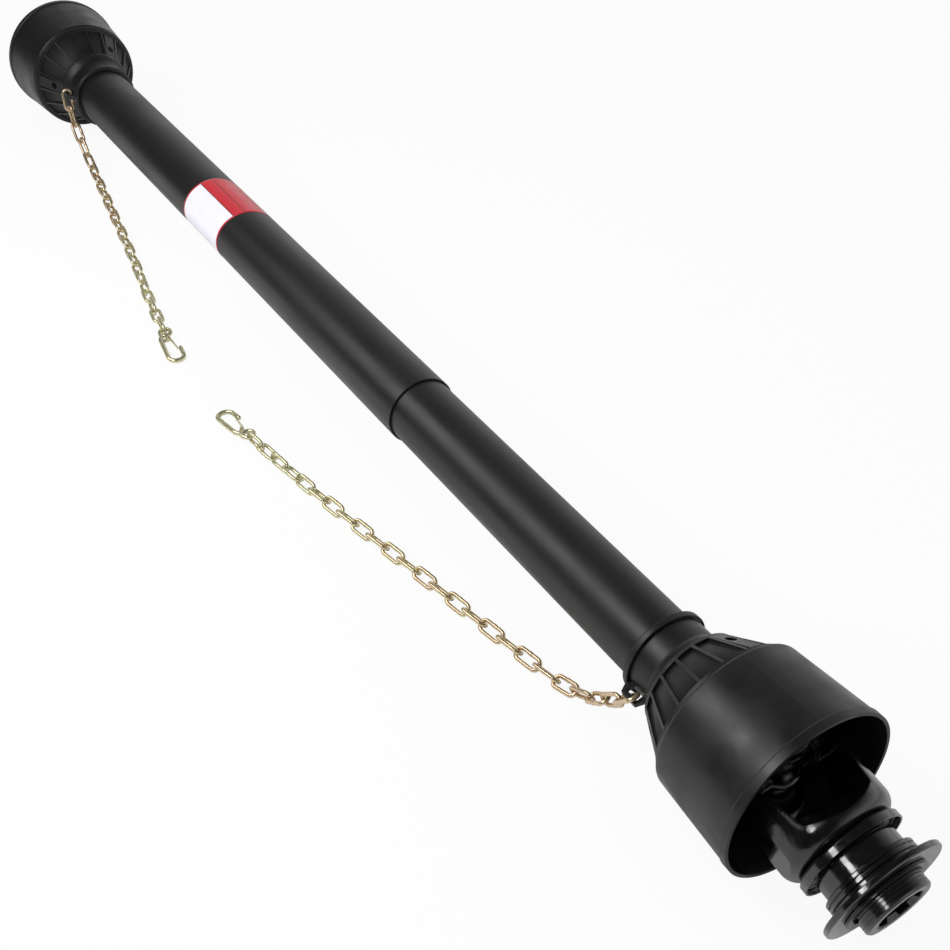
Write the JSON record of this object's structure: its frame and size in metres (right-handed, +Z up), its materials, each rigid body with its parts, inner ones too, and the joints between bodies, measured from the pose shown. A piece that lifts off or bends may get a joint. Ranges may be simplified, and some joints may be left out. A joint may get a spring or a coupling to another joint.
{
  "type": "PTO drive shaft",
  "caption": "Telescoping drive shaft with two universal joints, a full plastic guard with bell ends, safety chains with spring hooks, and a splined tractor yoke with a push-back lock collar.",
  "frame": {"origin": "centre of the implement yoke bore at its open end", "axes": "+X along the shaft axis towards the tractor yoke, +Z up as it lies on the floor"},
  "size_m": [1.4707, 0.1894, 0.135],
  "materials": {
    "guard_plastic": "satin moulded plastic",
    "fork_paint": "gloss black paint over forging",
    "collar_paint": "satin black",
    "hub_steel": "machined",
    "bearing_steel": "ground",
    "spring_steel": "blackened",
    "seal_rubber": "moulded",
    "nylon": "moulded",
    "tube_steel": "drawn",
    "zinc": "yellow zinc plated"
  },
  "bodies": {
    "implement_guard": {"implement_bell": "guard_plastic", "outer_guard_tube": "guard_plastic", "implement_guard_bearing": "nylon", "implement_chain": "zinc", "implement_chain_hook": "zinc"},
    "implement_gate": {"implement_hook_gate": "zinc"},
    "implement_shaft": {"implement_shaft_yoke": "fork_paint", "implement_shaft_cups": "bearing_steel", "implement_shaft_circlips": "spring_steel", "implement_roll_pin": "spring_steel", "inner_profile_tube": "tube_steel"},
    "implement_cross": {"implement_spider": "bearing_steel", "implement_spider_seals": "seal_rubber", "implement_grease_nipple": "zinc"},
    "implement_fork": {"implement_yoke": "fork_paint", "implement_yoke_cups": "bearing_steel", "implement_yoke_circlips": "spring_steel", "implement_set_screws": "spring_steel"},
    "tractor_shaft": {"tractor_shaft_yoke": "fork_paint", "tractor_shaft_cups": "bearing_steel", "tractor_shaft_circlips": "spring_steel", "tractor_roll_pin": "spring_steel", "outer_profile_tube": "tube_steel"},
    "tractor_cross": {"tractor_spider": "bearing_steel", "tractor_spider_seals": "seal_rubber", "tractor_grease_nipple": "zinc"},
    "tractor_fork": {"tractor_yoke": "fork_paint", "tractor_yoke_cups": "bearing_steel", "tractor_yoke_circlips": "spring_steel", "collar_cup": "collar_paint", "collar_washer": "collar_paint", "collar_snap_ring": "spring_steel", "collar_spring": "spring_steel"},
    "collar": {"lock_collar": "collar_paint"},
    "ball_1": {"lock_ball_1": "bearing_steel"},
    "ball_2": {"lock_ball_2": "bearing_steel"},
    "ball_3": {"lock_ball_3": "bearing_steel"},
    "tractor_guard": {"tractor_bell": "guard_plastic", "inner_guard_tube": "guard_plastic", "tractor_guard_bearing": "nylon", "tractor_chain": "zinc", "tractor_chain_hook": "zinc"},
    "tractor_gate": {"tractor_hook_gate": "zinc"}
  },
  "joints": [
    {"name": "implement_shaft_turn", "type": "hinge", "parent": "implement_guard", "child": "implement_shaft", "pos_m": [0.088, 0, 0], "axis": [1, 0, 0], "continuous": true},
    {"name": "implement_cross_swing", "type": "hinge", "parent": "implement_shaft", "child": "implement_cross", "pos_m": [0.088, 0, 0], "axis": [0, -0.1392, 0.9903], "range_deg": [-22, 22]},
    {"name": "implement_yoke_swing", "type": "hinge", "parent": "implement_cross", "child": "implement_fork", "pos_m": [0.088, 0, 0], "axis": [0, 0.9903, 0.1392], "range_deg": [-22, 22]},
    {"name": "telescope", "type": "slide", "parent": "implement_shaft", "child": "tractor_shaft", "axis": [1, 0, 0], "range_m": [-0.08, 0.33]},
    {"name": "tractor_cross_swing", "type": "hinge", "parent": "tractor_shaft", "child": "tractor_cross", "pos_m": [1.357, 0, 0], "axis": [0, -0.1392, 0.9903], "range_deg": [-20.74, 23.26]},
    {"name": "tractor_yoke_swing", "type": "hinge", "parent": "tractor_cross", "child": "tractor_fork", "pos_m": [1.357, 0, 0], "axis": [-0.022, -0.99, -0.1391], "range_deg": [-13.09, 30.91]},
    {"name": "collar_push", "type": "slide", "parent": "tractor_fork", "child": "collar", "axis": [-0.9877, 0, 0.1564], "range_m": [0, 0.0055], "stiffness_N_per_m": 3000, "springref_m": -0.004, "deforming": ["collar_spring"]},
    {"name": "tractor_guard_turn", "type": "hinge", "parent": "tractor_shaft", "child": "tractor_guard", "pos_m": [1.26, 0, 0], "axis": [1, 0, 0], "continuous": true},
    {"name": "tractor_gate_swing", "type": "hinge", "parent": "tractor_guard", "child": "tractor_gate", "pos_m": [0.78934, -0.10902, -0.06218], "axis": [-0.0832, -0.0093, 0.9965], "range_deg": [0, 14], "stiffness_Nm_per_rad": 0.05, "springref_deg": -28.65},
    {"name": "implement_gate_swing", "type": "hinge", "parent": "implement_guard", "child": "implement_gate", "pos_m": [0.62032, -0.10836, -0.06218], "axis": [0.0829, -0.0114, 0.9965], "range_deg": [-14, 0], "stiffness_Nm_per_rad": 0.05, "springref_deg": 28.65},
    {"name": "ball_1_lift", "type": "slide", "parent": "tractor_fork", "child": "ball_1", "axis": [-0.022, -0.99, -0.1391], "range_m": [0, 0.0024]},
    {"name": "ball_2_lift", "type": "slide", "parent": "tractor_fork", "child": "ball_2", "axis": [-0.1231, 0.617, -0.7773], "range_m": [0, 0.0024]},
    {"name": "ball_3_lift", "type": "slide", "parent": "tractor_fork", "child": "ball_3", "axis": [0.1451, 0.373, 0.9164], "range_m": [0, 0.0024]}
  ],
  "couplings": [
    {"joint": "ball_1_lift", "follows": "collar_push", "ratio": 0.436},
    {"joint": "ball_2_lift", "follows": "collar_push", "ratio": 0.436},
    {"joint": "ball_3_lift", "follows": "collar_push", "ratio": 0.436}
  ]
}
